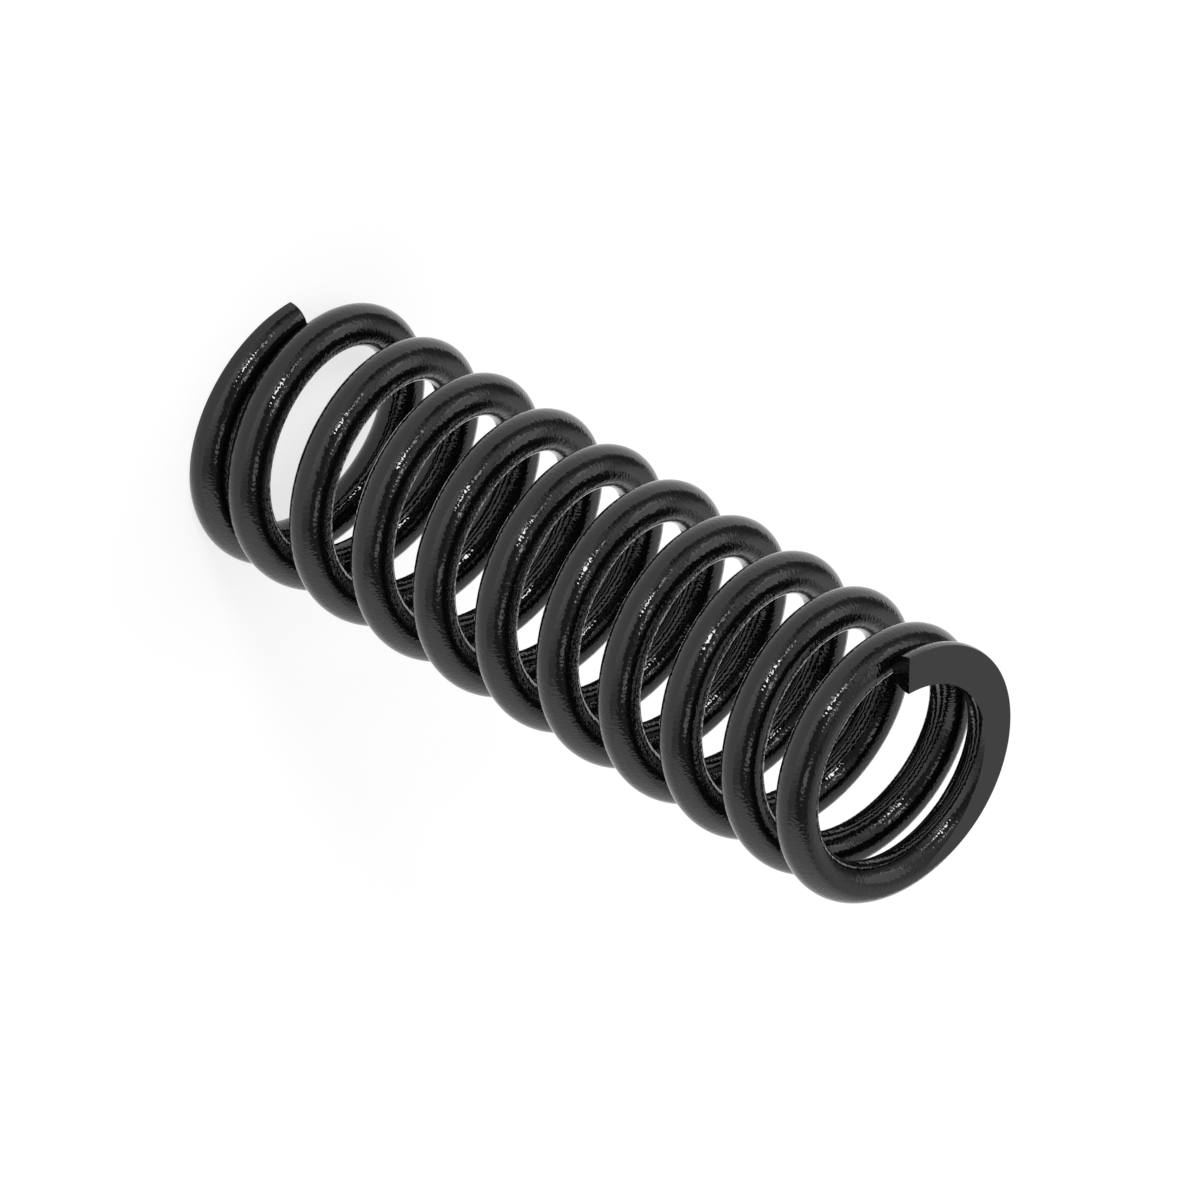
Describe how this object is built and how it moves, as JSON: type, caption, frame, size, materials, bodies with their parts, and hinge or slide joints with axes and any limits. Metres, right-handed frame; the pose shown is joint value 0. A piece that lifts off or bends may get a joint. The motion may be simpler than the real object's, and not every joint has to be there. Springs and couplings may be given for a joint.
{
  "type": "compression spring",
  "caption": "Cylindrical helical compression spring of round wire, right-hand wound, with closed and ground ends and a black finish; it pushes its two seats apart when squeezed.",
  "frame": {"origin": "centre of the coil on the plane of its lower ground end", "axes": "+Z along the coil's axis, from the lower ground end to the upper one; +X towards both tips of the wire"},
  "size_m": [0.0254, 0.0254, 0.0757],
  "materials": {
    "black_finish": "smooth black coating with a satin gloss over steel wire"
  },
  "bodies": {
    "root": {"coil_spring": "black_finish"}
  },
  "joints": []
}
